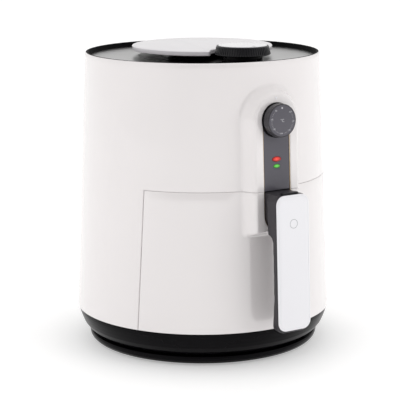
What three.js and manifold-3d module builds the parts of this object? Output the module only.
// A round hot-air fryer with a pull-out drawer, in millimetres, +Z up, front towards -Y.
// The pieces are modelled around the upright axis of the round body, with the floor at z = 0.
import * as THREE from "three";
import { mergeVertices } from "three/addons/utils/BufferGeometryUtils.js";
import Module from "manifold-3d";

// Driving dimensions
const GAP = 0.3; // between pieces that touch
const BODY_RADIUS = 136; // shell, at its lower edge
const BODY_TAPER = 0.045; // radius lost for each unit of height
const SHELL_BOTTOM = 38;
const SHELL_TOP = 308.6;
const SHELL_WALL = 2.5;
const RIM_RADIUS = 122.1; // inner edge of the shell's rounded top
const RIM_ROUNDING = 5;

const SEAM = 181.7; // height of the joint between drawer and upper housing
const SEAM_GAP = 1;
const DRAWER_HALF_BOTTOM = 119; // half width of the drawer front at its lower edge
const DRAWER_HALF_TOP = 110.8; // and at the seam
const DRAWER_SIDE_GAP = 0.6;
const BAY_HALF = 110; // inner half width of the bay that the drawer runs in
const BAY_FRONT = -58;

const PANEL_HALF = 15.2; // half width of the flat control strip
const PANEL_SURROUND = 0.85; // trim and gaps around the strip
const PANEL_THICKNESS = 3;
const PANEL_KNOB_HEIGHT = 252; // centre of the strip's round top end and of the temperature knob
const NECK_ROUND_HEIGHT = 157.5; // centre of the strip's round bottom end
const RAISE = 10.5; // how far the strip stands out from the round shell
const RAISE_FLAT = 24.5; // half width of the flat raised surround
const RAISE_FOOT = 34; // and of its foot on the round shell
const LEDGE_HEIGHT = 138; // lower end of the raised part, on the drawer front

const COVER_OFFSET = 37; // front of the handle's cover plate, out from the shell
const COVER_THICKNESS = 3;
const COVER_HALF = 19.3;
const COVER_BOTTOM = 45.5;
const COVER_TOP = 181.5;
const COVER_CORNER = 9;
const GRIP_BACK = 26.5; // back of the grip, out from the shell
const GRIP_TOE = 23; // back of the grip at its lower end

const KNOB_RADIUS = 16.75;
const KNOB_HEIGHT = 8.4;
const SHAFT_RADIUS = 3;

const DISH_RADIUS = 117;
const DISH_FLOOR = 303.9;
const COVER_PLATE = 2.5; // thickness of the dish
const DISC_RADIUS = 73.6;
const DISC_BOTTOM = 310.5;
const DISC_TOP = 315.1;
const TIMER_OFFSET = 76.7; // timer knob, towards the front
const TIMER_BOTTOM = 311.3;
const TIMER_TOP = 321.1;
const TIMER_RADIUS = 28.4;
const TIMER_TOP_RADIUS = 26.4;
const NOTCH_RADIUS = 33; // cut in the disc around the timer knob

const PAN_RADIUS = 99;
const PAN_BOTTOM = 43.6;
const PAN_RIM = 172;
const BASKET_RADIUS = 91;
const BASKET_BOTTOM = 56;
const BASKET_TOP = 168;
const SHEET = 1.5; // sheet metal

const DECK_TOP = 36.5;
const GLAND = { radius: 7, height: 26 }; // where the mains cord enters, at the back
const FLANGE_RADIUS = 122.7; // ring that the feet are set in, under the bowl
const FLANGE_INNER = 98;
const SCREW_CIRCLE = 60;
const FOOT_CIRCLE = 104;
const FOOT_RADIUS = 6.5;
const FOOT_HEIGHT = 5;
const MOTOR_RADIUS = 33;
const MOTOR_BOTTOM = 234;
const MOTOR_TOP = 274;
const BACK_EDGE = BODY_RADIUS;
const FRONT_EDGE = shellRadius(COVER_BOTTOM) + COVER_OFFSET;

const wasm = await Module();
wasm.setup();

// Outer radius of the round body at a height
function shellRadius(z) {
  return BODY_RADIUS - BODY_TAPER * (z - SHELL_BOTTOM);
}

function smooth(t) {
  const c = Math.min(1, Math.max(0, t));
  return c * c * (3 - 2 * c);
}

// Solids: a closed geometry becomes a solid for joins and cuts, and a solid becomes a geometry again

function solidOf(geometry) {
  const bare = geometry.index ? geometry : mergeVertices(geometry);
  bare.deleteAttribute("normal");
  bare.deleteAttribute("uv");
  const merged = mergeVertices(bare, 1e-3);
  const corners = [];
  const index = merged.index.array;
  for (let i = 0; i < index.length; i += 3) {
    const [a, b, c] = index.slice(i, i + 3);
    if (a !== b && b !== c && c !== a) corners.push(a, b, c);
  }
  const build = (triVerts) =>
    new wasm.Manifold(
      new wasm.Mesh({
        numProp: 3,
        vertProperties: new Float32Array(merged.attributes.position.array),
        triVerts: new Uint32Array(triVerts),
      }),
    );
  const solid = build(corners);
  return solid.volume() > 0 ? solid : build(corners.reverse());
}

function geometryOf(solid) {
  const { numProp, vertProperties, triVerts } = solid.getMesh();
  const positions = [];
  for (let i = 0; i < vertProperties.length; i += numProp) {
    positions.push(...vertProperties.slice(i, i + 3));
  }
  const geometry = new THREE.BufferGeometry();
  geometry.setAttribute("position", new THREE.Float32BufferAttribute(positions, 3));
  geometry.setIndex([...triVerts]);
  const faceted = geometry.toNonIndexed();
  faceted.computeVertexNormals();
  return faceted;
}

const join = (first, ...others) => others.reduce((sum, next) => sum.add(next), first);
const cut = (first, ...others) => others.reduce((rest, next) => rest.subtract(next), first);

// Moves each vertex by a function of its place
function reshape(geometry, move) {
  const places = geometry.attributes.position;
  const point = new THREE.Vector3();
  for (let i = 0; i < places.count; i++) {
    point.fromBufferAttribute(places, i);
    move(point);
    places.setXYZ(i, point.x, point.y, point.z);
  }
  return geometry;
}

const SEGMENTS = 48; // around a turned piece, where nothing else is said

// A turned solid from [radius, height] points that start and end on the axis or close on themselves
function turnedGeometry(points, segments = SEGMENTS) {
  const profile = points.map(([r, z]) => new THREE.Vector2(r, z));
  return new THREE.LatheGeometry(profile, segments).rotateX(Math.PI / 2);
}
const turned = (points, segments) => solidOf(turnedGeometry(points, segments));

function ring(inner, outer, low, high, segments) {
  return turned([[inner, low], [outer, low], [outer, high], [inner, high], [inner, low]], segments);
}

function rod(radius, low, high, segments = 16) {
  return turned([[0, low], [radius, low], [radius, high], [0, high]], segments);
}

// A rod along Y
function rodY(radius, from, to, x, z, segments = 16) {
  const length = to - from;
  const geometry = new THREE.CylinderGeometry(radius, radius, length, segments);
  return solidOf(geometry.translate(x, from + length / 2, z));
}

function block([x0, y0, z0], [x1, y1, z1]) {
  const geometry = new THREE.BoxGeometry(x1 - x0, y1 - y0, z1 - z0);
  return solidOf(geometry.translate((x0 + x1) / 2, (y0 + y1) / 2, (z0 + z1) / 2));
}

// An outline in the X-Z plane, pushed out towards the front between two distances from the axis
function frontPrism(shape, from, to, curveSegments = 10) {
  const options = { depth: to - from, bevelEnabled: false, curveSegments };
  const geometry = new THREE.ExtrudeGeometry(shape, options);
  return geometry.rotateX(Math.PI / 2).translate(0, -from, 0);
}

// An outline in the X-Y plane between two heights
function upPrism(shape, low, high, curveSegments = 32) {
  const options = { depth: high - low, bevelEnabled: false, curveSegments };
  return solidOf(new THREE.ExtrudeGeometry(shape, options).translate(0, 0, low));
}

// An outline in the Y-Z plane, as wide as given, centred on X
function sideGeometry(points, halfWidth) {
  const shape = new THREE.Shape(points.map(([y, z]) => new THREE.Vector2(y, z)));
  const geometry = new THREE.ExtrudeGeometry(shape, { depth: 2 * halfWidth, bevelEnabled: false });
  return geometry.rotateX(Math.PI / 2).rotateZ(Math.PI / 2).translate(-halfWidth, 0, 0);
}
const sidePrism = (points, halfWidth) => solidOf(sideGeometry(points, halfWidth));

// Shears a piece drawn against an upright plane so that it leans with the tapered shell
function leaned(geometry) {
  return solidOf(
    reshape(geometry, (p) => {
      p.y -= shellRadius(p.z);
    }),
  );
}

function archedPlate(halfWidth, low, high) {
  const shape = new THREE.Shape();
  shape.absarc(0, high, halfWidth, 0, Math.PI, false);
  shape.lineTo(-halfWidth, low);
  shape.lineTo(halfWidth, low);
  return shape;
}

function hangingPlate(halfWidth, low, high) {
  const shape = new THREE.Shape();
  shape.absarc(0, low, halfWidth, Math.PI, 2 * Math.PI, false);
  shape.lineTo(halfWidth, high);
  shape.lineTo(-halfWidth, high);
  return shape;
}

function roundedRectangle(halfWidth, low, high, corner) {
  const shape = new THREE.Shape();
  shape.absarc(halfWidth - corner, high - corner, corner, 0, Math.PI / 2, false);
  shape.absarc(corner - halfWidth, high - corner, corner, Math.PI / 2, Math.PI, false);
  shape.absarc(corner - halfWidth, low + corner, corner, Math.PI, 1.5 * Math.PI, false);
  shape.absarc(halfWidth - corner, low + corner, corner, 1.5 * Math.PI, 2 * Math.PI, false);
  return shape;
}

// Finishes
const finish = (color, roughness, metalness = 0) => ({ color, roughness, metalness });
const WHITE = finish(0xefebec, 0.22);
const GLOSS_BLACK = finish(0x141215, 0.12);
const DARK_GREY = finish(0x47464b, 0.5);
const PANEL_GREY = finish(0x5c5b61, 0.45);
const BLACK = finish(0x1b1a1e, 0.45);
const RED = finish(0xd02418, 0.25);
const GREEN = finish(0x2fae3a, 0.25);
const BRONZE = finish(0x9a7b55, 0.3, 1);
const STEEL = finish(0xb9bcc0, 0.35, 1);
const DARK_STEEL = finish(0x3a3a3d, 0.5, 1);
const NON_STICK = finish(0x2a2a2c, 0.5);
const RUBBER = finish(0x202020, 0.9);

const fryer = new THREE.Group();
const round = new THREE.Group(); // everything stands around the body's own axis
round.position.y = (FRONT_EDGE - BACK_EDGE) / 2;
fryer.add(round);

function add(name, solid, look, place = [0, 0, 0]) {
  const mesh = new THREE.Mesh(geometryOf(solid), new THREE.MeshStandardMaterial(look));
  mesh.name = name;
  mesh.position.set(...place);
  round.add(mesh);
  return mesh;
}

// The shell's skin: more segments at the front, and the soft raised surround of the control strip

const SKIN_SEGMENTS = 80;
const FRONT_CROWDING = 0.6;

function crowdFront(p) {
  const radius = Math.hypot(p.x, p.y);
  const angle = Math.atan2(p.x, -p.y);
  const moved = angle - FRONT_CROWDING * Math.sin(angle);
  p.x = radius * Math.sin(moved);
  p.y = -radius * Math.cos(moved);
}

// 1 on the flat surround, falling to 0 over the slope to its foot
function raiseWeight(x, z) {
  const up = Math.max(0, z - PANEL_KNOB_HEIGHT);
  const beyond = Math.hypot(x, up) - RAISE_FLAT;
  const lowerEnd = smooth((z - LEDGE_HEIGHT + 2) / 4);
  return (1 - smooth(beyond / (RAISE_FOOT - RAISE_FLAT))) * lowerEnd;
}

function raiseStrip(p) {
  const outside = Math.hypot(p.x, p.y) > shellRadius(p.z) - SHELL_WALL / 2;
  if (p.y > 0 || !outside) return;
  const weight = raiseWeight(p.x, p.z);
  p.y += weight * (-(shellRadius(p.z) + RAISE) - p.y);
}

function skin(points) {
  const geometry = turnedGeometry(points, SKIN_SEGMENTS);
  return solidOf(reshape(reshape(geometry, crowdFront), raiseStrip));
}

// The drawer front's outline seen from the front, grown by a margin
function drawerOutline(margin) {
  const slope = (DRAWER_HALF_BOTTOM - DRAWER_HALF_TOP) / (SEAM - SHELL_BOTTOM);
  const low = SHELL_BOTTOM - 10;
  const high = SEAM - SEAM_GAP / 2 + margin * (SEAM_GAP / DRAWER_SIDE_GAP);
  const halfAt = (z) => DRAWER_HALF_BOTTOM - slope * (z - SHELL_BOTTOM) + margin;
  return new THREE.Shape([
    new THREE.Vector2(-halfAt(low), low),
    new THREE.Vector2(halfAt(low), low),
    new THREE.Vector2(halfAt(high), high),
    new THREE.Vector2(-halfAt(high), high),
  ]);
}

// Housing

function addOuterHousing() {
  const roundingStart = SHELL_TOP - RIM_ROUNDING;
  const edge = shellRadius(roundingStart);
  const rounded = [15, 35, 60, 90].map((degrees) => {
    const a = THREE.MathUtils.degToRad(degrees);
    return [
      edge - (edge - RIM_RADIUS) * (1 - Math.cos(a)),
      roundingStart + RIM_ROUNDING * Math.sin(a),
    ];
  });
  const outerHeights = [SHELL_BOTTOM, SEAM, PANEL_KNOB_HEIGHT, 264, 270, 276, 279, 282, 287];
  const outer = outerHeights.map((z) => [shellRadius(z), z]);
  const rimBottom = SHELL_TOP - 9;
  const inner = [
    [RIM_RADIUS, rimBottom],
    [shellRadius(SEAM) - SHELL_WALL, SEAM],
    [shellRadius(SHELL_BOTTOM) - SHELL_WALL, SHELL_BOTTOM],
  ];
  const body = skin([...outer, [edge, roundingStart], ...rounded, ...inner, outer[0]]);

  const doorway = solidOf(frontPrism(drawerOutline(DRAWER_SIDE_GAP), 52, 170));
  const seat = archedPlate(PANEL_HALF + PANEL_SURROUND + GAP, SEAM - 3, PANEL_KNOB_HEIGHT);
  const recess = leaned(frontPrism(seat, RAISE - PANEL_THICKNESS - GAP, RAISE + 10));
  const hollow = archedPlate(PANEL_HALF - 0.7, SEAM + 3, PANEL_KNOB_HEIGHT);
  const pocket = leaned(frontPrism(hollow, -SHELL_WALL - 3, RAISE - PANEL_THICKNESS - 3));
  const shaftHole = rodY(SHAFT_RADIUS + 1.5, -160, -100, 0, PANEL_KNOB_HEIGHT);
  const ventHole = block([-46, 100, 204], [46, 140, 266]);
  const solid = cut(body, doorway, recess, pocket, shaftHole, ventHole);
  add("outer_housing", solid, WHITE);
}

function addRearVent() {
  const inner = (z) => shellRadius(z) - SHELL_WALL;
  const band = turned(
    [
      [inner(200), 200],
      [shellRadius(200), 200],
      [shellRadius(270), 270],
      [inner(270), 270],
      [inner(200), 200],
    ],
    SKIN_SEGMENTS,
  );
  let panel = band.intersect(block([-45.7, 90, 204.3], [45.7, 140, 265.7]));
  for (let i = 0; i < 5; i++) {
    const z = 211 + i * 10.5;
    panel = cut(panel, block([-38, 90, z], [-2.5, 140, z + 5]), block([2.5, 90, z], [38, 140, z + 5]));
  }
  add("rear_vent", panel, BLACK);
}

function addTopCover() {
  const rim = RIM_RADIUS - GAP;
  const floor = DISH_FLOOR - COVER_PLATE;
  let cover = turned([
    [0, floor],
    [rim, floor],
    [rim, 308.3],
    [rim - 0.5, 308.8],
    [rim - 1.6, 308.8],
    [rim - 2.2, 308.3],
    [DISH_RADIUS, DISH_FLOOR],
    [0, DISH_FLOOR],
  ]);
  const slotCount = 36;
  for (let i = 0; i < slotCount; i++) {
    const turn = (i + 0.5) * ((2 * Math.PI) / slotCount); // from the front
    const fromFront = Math.min(turn, 2 * Math.PI - turn);
    if (fromFront < THREE.MathUtils.degToRad(48)) continue;
    const slot = new THREE.BoxGeometry(3.6, 26, 12).translate(0, -55, DISH_FLOOR);
    cover = cut(cover, solidOf(slot.rotateZ(turn)));
  }
  const shaftHole = rod(SHAFT_RADIUS + 2, 280, 320).translate([0, -TIMER_OFFSET, 0]);
  add("top_cover", cut(cover, shaftHole), GLOSS_BLACK);
}

function addTopDisc() {
  const soft = 1.2;
  const disc = turned([
    [0, DISC_BOTTOM],
    [DISC_RADIUS - soft / 2, DISC_BOTTOM],
    [DISC_RADIUS, DISC_BOTTOM + soft / 2],
    [DISC_RADIUS, DISC_TOP - soft],
    [DISC_RADIUS - soft, DISC_TOP],
    [0, DISC_TOP],
  ]);
  const notch = rod(NOTCH_RADIUS, 300, 330, 48).translate([0, -TIMER_OFFSET, 0]);
  add("top_disc", cut(disc, notch), WHITE);
  add("disc_hub", rod(36, DISH_FLOOR + GAP, DISC_BOTTOM - GAP, 32), GLOSS_BLACK);
}

// Control strip, drawn in a frame whose +Z points straight out of the leaning strip

const strip = new THREE.Group();
strip.position.set(0, -(shellRadius(PANEL_KNOB_HEIGHT) + RAISE), PANEL_KNOB_HEIGHT);
strip.rotation.x = Math.PI / 2 - Math.atan(BODY_TAPER);
round.add(strip);

function addToStrip(name, solid, look) {
  strip.add(add(name, solid, look));
}

const INDICATORS = {
  red_indicator: { height: 213, half: 5.2, radius: 2.4, look: RED },
  green_indicator: { height: 206, half: 3.8, radius: 1.8, look: GREEN },
};

// A bar with round ends, half its whole length each way
function indicatorShape({ height, half, radius }, grow) {
  const shape = new THREE.Shape();
  shape.absarc(half - radius, height, radius + grow, -Math.PI / 2, Math.PI / 2, false);
  shape.absarc(radius - half, height, radius + grow, Math.PI / 2, 1.5 * Math.PI, false);
  return shape;
}

function addControlPanel() {
  const back = RAISE - PANEL_THICKNESS;
  const low = SEAM + SEAM_GAP / 2;
  const plate = archedPlate(PANEL_HALF, low, PANEL_KNOB_HEIGHT);
  const outline = leaned(frontPrism(plate, back, RAISE));
  const shaftHole = rodY(SHAFT_RADIUS + 0.6, -160, -100, 0, PANEL_KNOB_HEIGHT);
  const lensHoles = Object.values(INDICATORS).map((indicator) =>
    leaned(frontPrism(indicatorShape(indicator, GAP), 0, RAISE + 5, 6)),
  );
  add("control_panel", cut(outline, shaftHole, ...lensHoles), PANEL_GREY);
  for (const [name, indicator] of Object.entries(INDICATORS)) {
    const lens = leaned(frontPrism(indicatorShape(indicator, 0), back, RAISE + 0.6, 6));
    add(name, lens, indicator.look);
  }
  const outer = archedPlate(PANEL_HALF + PANEL_SURROUND, low, PANEL_KNOB_HEIGHT);
  const inner = archedPlate(PANEL_HALF + GAP, low - 5, PANEL_KNOB_HEIGHT);
  const trim = leaned(frontPrism(outer, back, RAISE + 0.2));
  add("panel_trim", cut(trim, leaned(frontPrism(inner, 0, RAISE + 5))), BRONZE);
}

function addTemperatureControl() {
  addToStrip("knob_bezel", ring(SHAFT_RADIUS + 0.6, KNOB_RADIUS + 0.8, GAP, 1.5, 48), GLOSS_BLACK);
  const low = 1.9;
  const high = low + KNOB_HEIGHT;
  const knob = turned(
    [
      [0, 6],
      [SHAFT_RADIUS + GAP, 6],
      [SHAFT_RADIUS + GAP, low],
      [KNOB_RADIUS, low],
      [KNOB_RADIUS, high - 1],
      [KNOB_RADIUS - 1, high],
      [0, high],
    ],
    48,
  );
  addToStrip("temperature_knob", knob, PANEL_GREY);
  addToStrip("temperature_shaft", rod(SHAFT_RADIUS, -12, 5.7), STEEL);
  const body = cut(rod(13, -32, -6.8, 24), rod(SHAFT_RADIUS + GAP, -12.3, 0));
  addToStrip("thermostat_body", body, BLACK);
}

// Timer, on the lid

function addTimer() {
  const place = [0, -TIMER_OFFSET, 0];
  const capRadius = 24.8;
  const shaftTop = TIMER_BOTTOM + 4.7;
  const bore = SHAFT_RADIUS + GAP;
  const knob = turned(
    [
      [0, shaftTop + GAP],
      [bore, shaftTop + GAP],
      [bore, TIMER_BOTTOM],
      [TIMER_RADIUS - 0.6, TIMER_BOTTOM],
      [TIMER_RADIUS, TIMER_BOTTOM + 0.6],
      [TIMER_TOP_RADIUS + 0.3, TIMER_TOP - 1.5],
      [TIMER_TOP_RADIUS - 1, TIMER_TOP - 0.4],
      [capRadius + GAP, TIMER_TOP - 0.4],
      [capRadius + GAP, TIMER_TOP - 1.8],
      [0, TIMER_TOP - 1.8],
    ],
    52,
  );
  add("timer_knob", knob, BLACK, place);
  add("timer_cap", rod(capRadius, TIMER_TOP - 1.5, TIMER_TOP, 48), WHITE, place);
  const shaftLow = DISH_FLOOR - COVER_PLATE - 6;
  add("timer_shaft", rod(SHAFT_RADIUS, shaftLow, shaftTop), STEEL, place);
  const bezel = ring(SHAFT_RADIUS + 2, 21, DISH_FLOOR + GAP, TIMER_BOTTOM - 0.4, 32);
  add("timer_bezel", bezel, GLOSS_BLACK, place);
  const body = block([-25, -24, 273], [25, 24, DISH_FLOOR - COVER_PLATE - GAP]);
  add("timer_body", cut(body, rod(bore, shaftLow - GAP, 310)), BLACK, place);
}

// Motor, fans and heater

const SHAFT_HOLE = 6;
const DOME_TOP = 211;

function impeller(radius, hubRadius, low, high, blades) {
  const boss = rod(hubRadius, low, high, 24);
  const plate = rod(radius, high - SHEET, high, 40);
  const vanes = [];
  for (let i = 0; i < blades; i++) {
    const vane = new THREE.BoxGeometry(radius - hubRadius, SHEET, high - low);
    vane.translate((radius + hubRadius) / 2 - 1, 0, (low + high) / 2);
    vanes.push(solidOf(vane.rotateZ(0.35).rotateZ((i * 2 * Math.PI) / blades)));
  }
  return cut(join(boss, plate, ...vanes), rod(4 + GAP, low - 5, high + 5));
}

function addMotorAndFans() {
  const body = turned([
    [4.5, MOTOR_BOTTOM],
    [MOTOR_RADIUS - 3, MOTOR_BOTTOM],
    [MOTOR_RADIUS, MOTOR_BOTTOM + 3],
    [MOTOR_RADIUS, MOTOR_TOP - 3],
    [MOTOR_RADIUS - 3, MOTOR_TOP],
    [4.5, MOTOR_TOP],
    [4.5, MOTOR_BOTTOM],
  ], 32);
  add("motor", body, STEEL);
  const leg = 78;
  const bracket = [
    [-leg - 10, DOME_TOP + GAP],
    [-leg + 2, DOME_TOP + GAP],
    [-leg + 2, MOTOR_BOTTOM - 5],
    [leg - 2, MOTOR_BOTTOM - 5],
    [leg - 2, DOME_TOP + GAP],
    [leg + 10, DOME_TOP + GAP],
    [leg + 10, DOME_TOP + 2.3],
    [leg, DOME_TOP + 2.3],
    [leg, MOTOR_BOTTOM - 1],
    [-leg, MOTOR_BOTTOM - 1],
    [-leg, DOME_TOP + 2.3],
    [-leg - 10, DOME_TOP + 2.3],
  ];
  const arch = new THREE.Shape(bracket.map(([x, z]) => new THREE.Vector2(x, z)));
  const bridge = solidOf(frontPrism(arch, -18, 18));
  add("motor_bracket", cut(bridge, rod(SHAFT_HOLE, 200, 260)), STEEL);
  add("motor_shaft", rod(4, 194, MOTOR_TOP + 6), STEEL);
  add("hot_air_fan", impeller(62, 14, 196, 206, 7), STEEL);
  add("cooling_fan", impeller(42, 12, 215, 225, 8), DARK_STEEL);
}

const ELEMENT_RADIUS = 82;
const ELEMENT_HEIGHT = 191;
const ELEMENT_TERMINAL = THREE.MathUtils.degToRad(12); // half angle between the two terminals

function addHeater() {
  const points = [];
  const place = (angle, z) =>
    new THREE.Vector3(ELEMENT_RADIUS * Math.sin(angle), ELEMENT_RADIUS * Math.cos(angle), z);
  points.push(place(ELEMENT_TERMINAL, 222), place(ELEMENT_TERMINAL, 214));
  points.push(place(ELEMENT_TERMINAL, 203));
  const turns = 20;
  const first = ELEMENT_TERMINAL + 0.14;
  for (let i = 0; i <= turns; i++) {
    points.push(place(first + ((2 * Math.PI - 2 * first) * i) / turns, ELEMENT_HEIGHT));
  }
  points.push(place(-ELEMENT_TERMINAL, 203));
  points.push(place(-ELEMENT_TERMINAL, 214), place(-ELEMENT_TERMINAL, 222));
  const path = new THREE.CatmullRomCurve3(points, false, "centripetal");
  const section = new THREE.Shape();
  section.absarc(0, 0, 3.2, 0, 2 * Math.PI, false);
  const options = { steps: 56, extrudePath: path, curveSegments: 3 };
  add("heating_element", solidOf(new THREE.ExtrudeGeometry(section, options)), DARK_STEEL);

  const dome = turned([
    [116, 183.4],
    [104, 183.4],
    [100, 200],
    [90, DOME_TOP - SHEET],
    [SHAFT_HOLE, DOME_TOP - SHEET],
    [SHAFT_HOLE, DOME_TOP],
    [91, DOME_TOP],
    [101.7, 200.6],
    [105.4, 183.4 + SHEET],
    [116, 183.4 + SHEET],
    [116, 183.4],
  ]);
  const terminals = [ELEMENT_TERMINAL, -ELEMENT_TERMINAL].map((angle) => {
    const { x, y } = place(angle, 0);
    return rod(5, 205, 215).translate([x, y, 0]);
  });
  add("heater_reflector", cut(dome, ...terminals), STEEL);
}

function addHeaterGuard() {
  const wire = 1.3;
  const z = 185.8;
  const rings = [34, 66, 99].map((radius) =>
    solidOf(new THREE.TorusGeometry(radius, wire, 4, 24).translate(0, 0, z)),
  );
  const spokes = [0, 1, 2].map((i) => {
    const spoke = new THREE.CylinderGeometry(wire, wire, 2 * 99, 5).translate(0, 0, z);
    return solidOf(spoke.rotateZ(((i + 0.5) * Math.PI) / 3));
  });
  add("heater_guard", join(...rings, ...spokes), STEEL);
}

function addBulkhead() {
  add("bulkhead_ring", ring(106.5, 126.4, 185.2, 187.2), DARK_STEEL);
  add("thermal_fuse", rod(5, DOME_TOP + GAP, 217).translate([50, -36, 0]), BLACK);
}

// The bay that the drawer runs in

function addBay() {
  const low = DECK_TOP + 1;
  const high = 183.1;
  const outline = (half, front) => {
    const shape = new THREE.Shape();
    shape.absarc(0, 0, half, 0, Math.PI, false);
    shape.lineTo(-half, front);
    shape.lineTo(half, front);
    return shape;
  };
  const outer = upPrism(outline(BAY_HALF + SHEET, BAY_FRONT), low, high, 24);
  const inside = upPrism(outline(BAY_HALF, BAY_FRONT - 10), low - 5, high + 5, 24);
  const walls = cut(outer, inside);
  const insideShell = turned([
    [0, low],
    [shellRadius(low) - SHELL_WALL - GAP, low],
    [shellRadius(high) - SHELL_WALL - GAP, high],
    [0, high],
  ]);
  const jambs = [-1, 1].map((side) => {
    const near = side * (BAY_HALF + SHEET / 2);
    const far = side * 130;
    const x = [Math.min(near, far), Math.max(near, far)];
    return block([x[0], BAY_FRONT, low], [x[1], BAY_FRONT + SHEET, high]).intersect(insideShell);
  });
  add("inner_chamber", join(walls, ...jambs), STEEL);
  const rail = { inner: 94, outer: 104, front: -56, back: 28, bottom: DECK_TOP + GAP, top: 40.7 };
  const left = block([-rail.outer, rail.front, rail.bottom], [-rail.inner, rail.back, rail.top]);
  const right = block([rail.inner, rail.front, rail.bottom], [rail.outer, rail.back, rail.top]);
  add("drawer_rail_left", left, BLACK);
  add("drawer_rail_right", right, BLACK);
  add("door_switch", block([-10, 112, 60], [10, 124, 78]), BLACK);
}

// Base

function addBase() {
  const bowl = turned([
    [0, 12.3],
    [117, 12.3],
    [121, 12.9],
    [125.6, 16.5],
    [129, 21.2],
    [130.9, 25.5],
    [132.6, 30],
    [133.6, 33.2],
    [134.2, DECK_TOP + 0.6],
    [131.8, DECK_TOP + 0.6],
    [131.8, 33.6],
    [130.6, 30],
    [128.6, 25],
    [126.4, 21],
    [122.5, 17.2],
    [118, 15],
    [0, 15],
  ]);
  const glandHole = rodY(GLAND.radius + GAP, 110, 150, 0, GLAND.height, 20);
  const around = (circle, degrees) => {
    const a = THREE.MathUtils.degToRad(degrees);
    return [circle * Math.cos(a), circle * Math.sin(a), 0];
  };
  const screwPlaces = [90, 210, 330].map((degrees) => around(SCREW_CIRCLE, degrees));
  const holes = screwPlaces.map((p) => rod(2.4, 5, 20).translate(p));
  add("base_skirt", cut(bowl, glandHole, ...holes), GLOSS_BLACK);
  screwPlaces.forEach((p, i) => {
    const screw = turned([[0, 9.8], [4.2, 9.8], [4.2, 12], [2, 12], [2, 24], [0, 24]], 12);
    add("base_screw_" + (i + 1), screw, STEEL, p);
  });
  add("base_deck", rod(131.4, DECK_TOP - 2.5, DECK_TOP, 64), DARK_STEEL);

  const flange = turned([
    [FLANGE_INNER, 1.5],
    [115, 1.5],
    [119.5, 2.8],
    [122, 5.6],
    [FLANGE_RADIUS, 8.4],
    [121.9, 10.2],
    [120.9, 10.4],
    [119.9, 9.4],
    [112, 8.6],
    [110, 9],
    [109, 12],
    [FLANGE_INNER, 12],
    [FLANGE_INNER, 1.5],
  ]);
  const footPlaces = [45, 135, 225, 315].map((degrees) => around(FOOT_CIRCLE, degrees));
  const pockets = footPlaces.map((p) =>
    rod(FOOT_RADIUS + 2 * GAP, 0, FOOT_HEIGHT + GAP, 14).translate(p),
  );
  add("foot_ring", cut(flange, ...pockets), GLOSS_BLACK);
  const names = ["back_right", "back_left", "front_left", "front_right"];
  footPlaces.forEach((p, i) => {
    const profile = [
      [0, 0],
      [FOOT_RADIUS - 0.8, 0],
      [FOOT_RADIUS, 0.8],
      [FOOT_RADIUS, FOOT_HEIGHT],
      [0, FOOT_HEIGHT],
    ];
    add("rubber_foot_" + names[i], turned(profile, 14), RUBBER, p);
  });
}

function addMainsParts() {
  const { radius, height } = GLAND;
  const gland = rodY(radius, 122, BACK_EDGE - 0.2, 0, height, 20);
  add("cord_gland", cut(gland, rodY(3.6, 110, 150, 0, height)), BLACK);
  add("terminal_block", block([-16, 84, 15.3], [16, 100, 28]), WHITE);
}

// Drawer: front, frame and pan

function addDrawerFront() {
  const top = SEAM - SEAM_GAP / 2;
  const heights = [SHELL_BOTTOM, LEDGE_HEIGHT - 2, LEDGE_HEIGHT - 0.7, LEDGE_HEIGHT + 0.7];
  const outer = [...heights, LEDGE_HEIGHT + 2, top].map((z) => [shellRadius(z), z]);
  const inner = [top, SHELL_BOTTOM].map((z) => [shellRadius(z) - SHELL_WALL - 0.5, z]);
  const band = skin([...outer, ...inner, outer[0]]);
  const front = band.intersect(solidOf(frontPrism(drawerOutline(0), 52, 170)));
  const opening = hangingPlate(PANEL_HALF + PANEL_SURROUND + GAP, NECK_ROUND_HEIGHT, SEAM + 5);
  add("drawer_front", cut(front, solidOf(frontPrism(opening, 80, 170))), WHITE);
}

const FRAME_HALF = 107; // half width of the drawer's inner frame
const FLOOR_RADIUS = 104;
const COLLAR_LOW = 166;

// The flat outline of the drawer's frame: a circle around the pan, carried forward to the front
function drawerFrame(radius, low, high) {
  const limit = shellRadius(high) - SHELL_WALL - 0.5 - GAP;
  const front = block([-FRAME_HALF, -140, low], [FRAME_HALF, -30, high]);
  const forward = front.intersect(rod(limit, low, high, 60));
  return join(rod(radius, low, high, 60), forward);
}

function addDrawerFrame() {
  const neckSlot = block([-19.6, -140, 160], [19.6, -111, 175]);
  const collar = drawerFrame(FRAME_HALF + 0.6, COLLAR_LOW, PAN_RIM - SHEET - GAP);
  add("drawer_collar", cut(collar, rod(PAN_RADIUS + 1, 160, 175, 60), neckSlot), BLACK);
  add("drawer_floor", drawerFrame(FLOOR_RADIUS, 41, PAN_BOTTOM - GAP), BLACK);
  const low = PAN_BOTTOM;
  const high = COLLAR_LOW - GAP;
  const frontHalf = block([-110, -110, low], [110, -60, high]);
  const curved = ring(FLOOR_RADIUS - 2.2, FLOOR_RADIUS - 0.2, low, high).intersect(frontHalf);
  const wingPlate = block([-FRAME_HALF, -62, low], [FRAME_HALF, -60, high]);
  const wings = cut(wingPlate, rod(FLOOR_RADIUS - 2, low - 5, high + 5));
  add("drawer_liner", join(curved, wings), BLACK);
}

function addPan() {
  const foot = PAN_RADIUS - 5;
  const pan = turned(
    [
      [0, PAN_BOTTOM],
      [foot - 4, PAN_BOTTOM],
      [foot, PAN_BOTTOM + 4],
      [PAN_RADIUS, PAN_RIM - SHEET],
      [105.5, PAN_RIM - SHEET],
      [105.5, PAN_RIM],
      [PAN_RADIUS - SHEET, PAN_RIM],
      [foot - SHEET, PAN_BOTTOM + 5],
      [foot - 5, PAN_BOTTOM + SHEET],
      [0, PAN_BOTTOM + SHEET],
    ],
    60,
  );
  add("drawer_pan", pan, NON_STICK);
}

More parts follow.
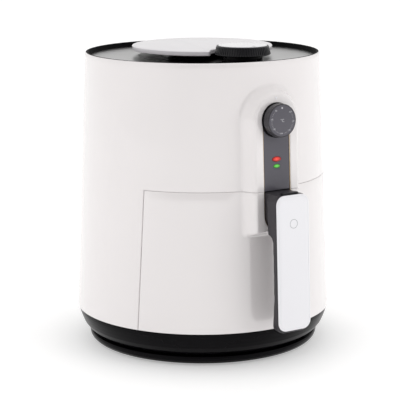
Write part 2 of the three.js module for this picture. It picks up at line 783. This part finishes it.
// Basket with its handle, lifted out of the drawer after the button is pressed

function addBasket() {
  const foot = BASKET_RADIUS - 3;
  let basket = turned(
    [
      [0, BASKET_BOTTOM],
      [foot - 3, BASKET_BOTTOM],
      [foot, BASKET_BOTTOM + 3],
      [BASKET_RADIUS, BASKET_TOP - 2],
      [BASKET_RADIUS + 3, BASKET_TOP - 2],
      [BASKET_RADIUS + 3, BASKET_TOP],
      [BASKET_RADIUS - SHEET, BASKET_TOP],
      [foot - SHEET, BASKET_BOTTOM + 4],
      [foot - 4, BASKET_BOTTOM + SHEET],
      [0, BASKET_BOTTOM + SHEET],
    ],
  );
  const rows = [[0, 1], [30, 6], [60, 12]];
  for (const [radius, count] of rows) {
    for (let i = 0; i < count; i++) {
      const a = (i * 2 * Math.PI) / count;
      const place = [radius * Math.sin(a), radius * Math.cos(a), 0];
      basket = cut(basket, rod(6, BASKET_BOTTOM - 5, BASKET_BOTTOM + 3, 6).translate(place));
    }
  }
  const slots = 16;
  for (let i = 0; i < slots; i++) {
    const slot = new THREE.BoxGeometry(7, 20, 40).translate(0, BASKET_RADIUS, BASKET_BOTTOM + 34);
    basket = cut(basket, solidOf(slot.rotateZ(((i + 0.5) * 2 * Math.PI) / slots)));
  }
  add("fry_basket", basket, NON_STICK);
}

const NECK_BACK = 114; // inner end of the handle's neck, from the axis
const BRACKET_TOP = 174.5;
const HANDLE_TOP = 180.8; // of the bracket's plate behind the handle's neck
const HANDLE_SCREW_SIDES = [-9, 9];
const HANDLE_SCREW_HEIGHT = 177.6;

function addBracket() {
  const back = -NECK_BACK + GAP + 0.1;
  const riser = -(BASKET_RADIUS + 3);
  const seat = BASKET_TOP + GAP;
  const profile = [
    [back, HANDLE_TOP],
    [back, BRACKET_TOP - SHEET],
    [riser, BRACKET_TOP - SHEET],
    [riser, seat],
    [1 - BASKET_RADIUS, seat],
    [1 - BASKET_RADIUS, seat + SHEET],
    [riser + SHEET, seat + SHEET],
    [riser + SHEET, BRACKET_TOP],
    [back + SHEET, BRACKET_TOP],
    [back + SHEET, HANDLE_TOP],
  ];
  const holes = HANDLE_SCREW_SIDES.map((x) => rodY(2, -120, -100, x, HANDLE_SCREW_HEIGHT));
  add("basket_bracket", cut(sidePrism(profile, 15), ...holes), STEEL);
  ["left", "right"].forEach((side, i) => {
    const at = [HANDLE_SCREW_SIDES[i], HANDLE_SCREW_HEIGHT, 12];
    const head = rodY(3, back + SHEET + GAP, back + SHEET + GAP + 2, ...at);
    const shank = rodY(1.6, back - 9, back + SHEET + GAP + 1, ...at);
    add("handle_screw_" + side, join(head, shank), STEEL);
  });
}

const BUTTON = { half: 9, near: 27.2, far: 32.6, top: 183.4, low: 173 };

function addHandle() {
  const low = COVER_BOTTOM - 2.5;
  const high = SEAM - SEAM_GAP / 2;
  const face = COVER_OFFSET - COVER_THICKNESS - GAP;
  const sideOutline = [
    [-face, low],
    [-GRIP_TOE, low],
    [-GRIP_BACK, low + 34],
    [-GRIP_BACK, 134],
    [-GRIP_BACK + 2, 138],
    [-GRIP_BACK + 6, 140.4],
    [0, 140.4],
    [0, high],
    [-face, high],
  ];
  const grip = roundedRectangle(COVER_HALF - 0.6, low, high, COVER_CORNER - 1);
  const gripFront = leaned(frontPrism(grip, GRIP_TOE - 5, COVER_OFFSET + 5));
  const neckOutline = hangingPlate(PANEL_HALF, NECK_ROUND_HEIGHT, high);
  const neckRound = leaned(frontPrism(neckOutline, -5, GRIP_TOE + 12));
  const slab = leaned(sideGeometry(sideOutline, COVER_HALF));
  const outside = slab.intersect(join(gripFront, neckRound));
  const stub = solidOf(frontPrism(neckOutline, NECK_BACK, shellRadius(160) + 2));
  const seat = block([-20, -shellRadius(160) - 6, 100], [20, -NECK_BACK, 200]);
  const { half, near, far, low: pocketLow } = BUTTON;
  const pocketShape = new THREE.Shape([
    new THREE.Vector2(-half - GAP, pocketLow - 8),
    new THREE.Vector2(half + GAP, pocketLow - 8),
    new THREE.Vector2(half + GAP, high + 8),
    new THREE.Vector2(-half - GAP, high + 8),
  ]);
  const pocket = solidOf(
    frontPrism(pocketShape, shellRadius(high) + near - GAP, shellRadius(high) + far + GAP),
  );
  const screwHoles = HANDLE_SCREW_SIDES.map((x) =>
    rodY(1.9, -124, -100, x, HANDLE_SCREW_HEIGHT),
  );
  const core = cut(join(outside, stub.intersect(seat)), pocket, ...screwHoles);
  add("handle_core", core, DARK_GREY);

  const plate = roundedRectangle(COVER_HALF, COVER_BOTTOM, COVER_TOP, COVER_CORNER);
  const cover = leaned(frontPrism(plate, COVER_OFFSET - COVER_THICKNESS, COVER_OFFSET));
  add("handle_cover", cover, WHITE);

  const trimOutline = hangingPlate(PANEL_HALF + PANEL_SURROUND, NECK_ROUND_HEIGHT, high);
  const trimHole = hangingPlate(PANEL_HALF + GAP, NECK_ROUND_HEIGHT, high + 5);
  const trim = leaned(frontPrism(trimOutline, RAISE - PANEL_THICKNESS, RAISE + 0.2));
  add("neck_trim", cut(trim, leaned(frontPrism(trimHole, 0, RAISE + 5))), BRONZE);
}

function addReleaseButton() {
  const { half, near, far, top, low } = BUTTON;
  const at = shellRadius(SEAM - SEAM_GAP / 2);
  add("release_button", block([-half, -at - far, low], [half, -at - near, top]), BLACK);
  const turns = 4;
  const spring = { radius: 2, low: low - 7.4, high: low - 1 };
  const points = [];
  for (let i = 0; i <= turns * 10; i++) {
    const a = (i * 2 * Math.PI) / 10;
    const z = spring.low + ((spring.high - spring.low) * i) / (turns * 10);
    points.push(new THREE.Vector3(spring.radius * Math.cos(a), spring.radius * Math.sin(a), z));
  }
  const section = new THREE.Shape();
  section.absarc(0, 0, 0.4, 0, 2 * Math.PI, false);
  const path = new THREE.CatmullRomCurve3(points);
  const coil = new THREE.ExtrudeGeometry(section, { steps: 40, extrudePath: path, curveSegments: 2 });
  add("release_spring", solidOf(coil), STEEL, [0, -at - (near + far) / 2, 0]);
}

addOuterHousing();
addRearVent();
addTopCover();
addTopDisc();
addControlPanel();
addTemperatureControl();
addTimer();
addMotorAndFans();
addHeater();
addHeaterGuard();
addBulkhead();
addBay();
addBase();
addMainsParts();
addDrawerFront();
addDrawerFrame();
addPan();
addBasket();
addBracket();
addHandle();
addReleaseButton();

export default fryer;
